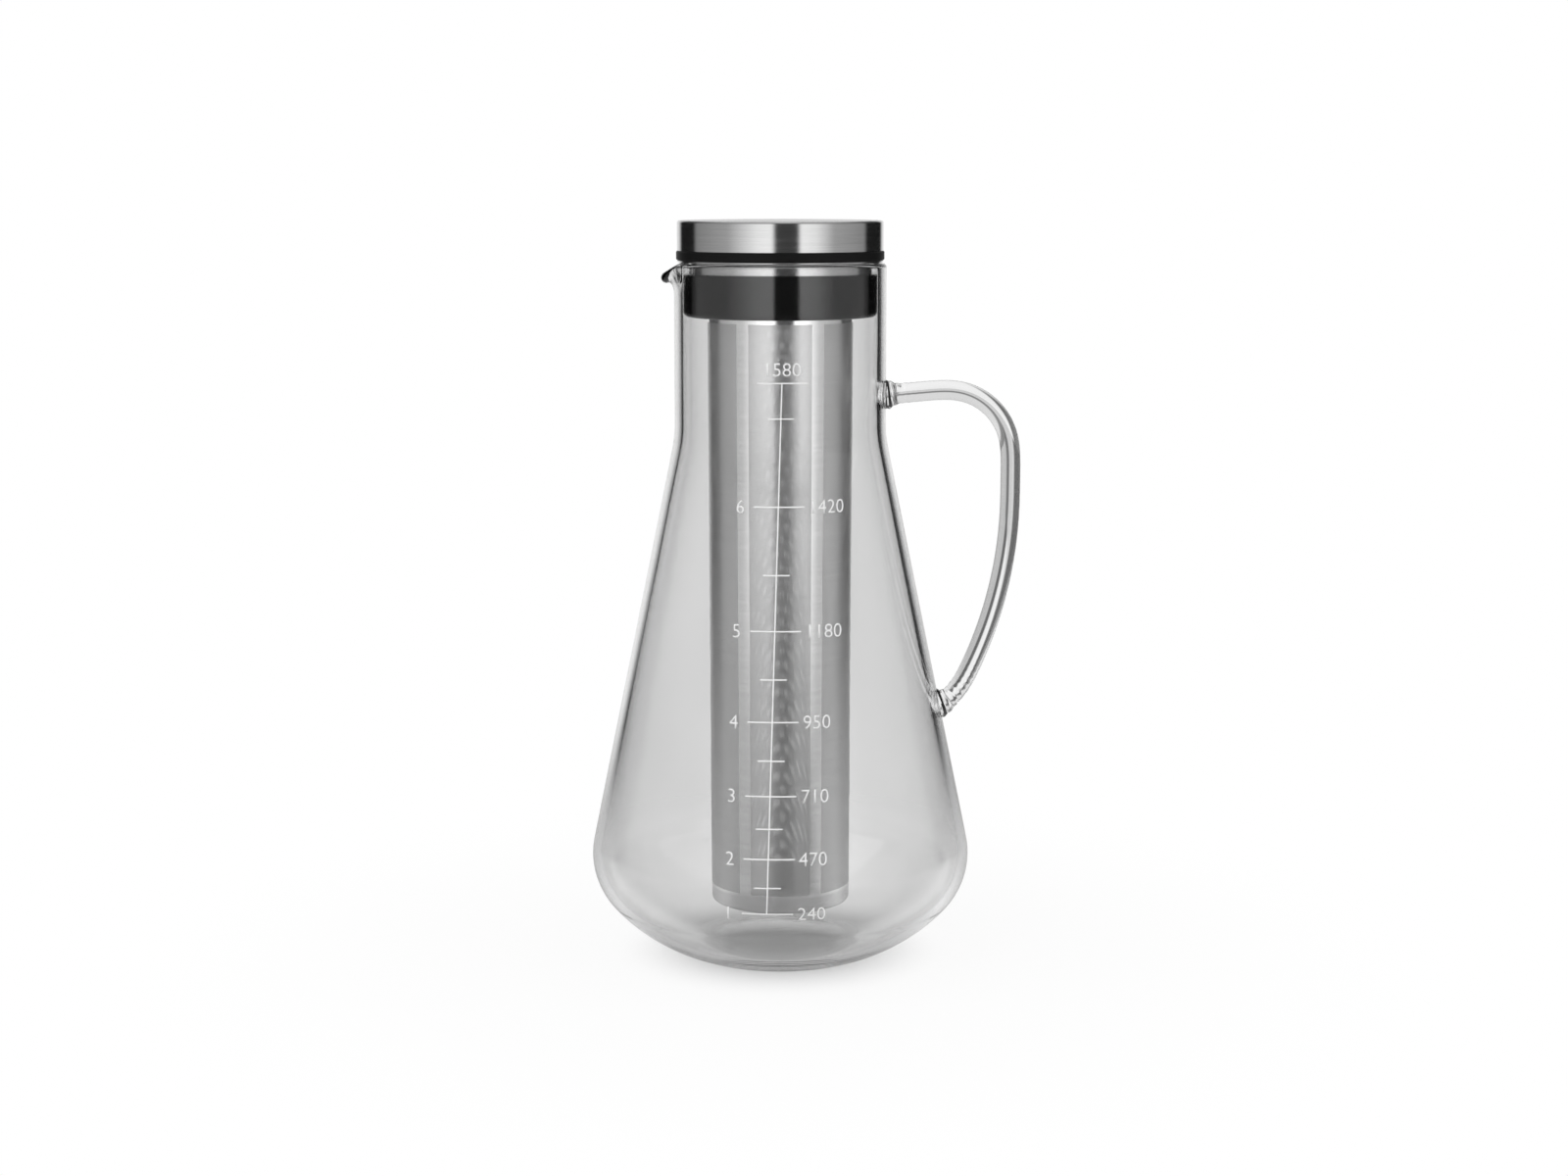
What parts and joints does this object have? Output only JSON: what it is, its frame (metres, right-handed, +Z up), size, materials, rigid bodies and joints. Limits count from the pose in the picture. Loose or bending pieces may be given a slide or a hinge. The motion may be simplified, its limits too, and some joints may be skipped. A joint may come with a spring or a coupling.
{
  "type": "cold brew coffee pitcher",
  "caption": "Conical glass coffee pitcher with a pulled spout, fused rod handle, hanging perforated steel filter with gasket, and a steel lift-off lid.",
  "frame": {"origin": "on the ground plane under the carafe's vertical axis", "axes": "+Z up along the carafe's axis, +X towards the handle, spout towards -X"},
  "size_m": [0.1517, 0.1344, 0.2606],
  "materials": {
    "carafe_glass": "clear blown borosilicate, fire-polished",
    "handle_glass": "clear solid rod, fused ends",
    "collar_steel": "satin stainless sheet",
    "perforated_steel": "micro-perforated stainless sheet",
    "cap_steel": "brushed round the wall, satin top",
    "black_silicone": "satin black silicone",
    "black_plastic": "fine moulded matte"
  },
  "bodies": {
    "carafe": {"carafe_body": "carafe_glass", "carafe_handle": "handle_glass"},
    "filter": {"filter_collar": "collar_steel", "filter_gasket": "black_silicone", "filter_tube": "perforated_steel", "filter_base_cup": "collar_steel"},
    "lid": {"lid_cap": "cap_steel", "lid_core": "black_plastic", "lid_seal": "black_silicone"}
  },
  "joints": [
    {"name": "filter_lift", "type": "slide", "parent": "carafe", "child": "filter", "axis": [0, 0, 1], "range_m": [0, 0.24]},
    {"name": "lid_lift", "type": "slide", "parent": "filter", "child": "lid", "axis": [0, 0, 1], "range_m": [0, 0.04]}
  ]
}
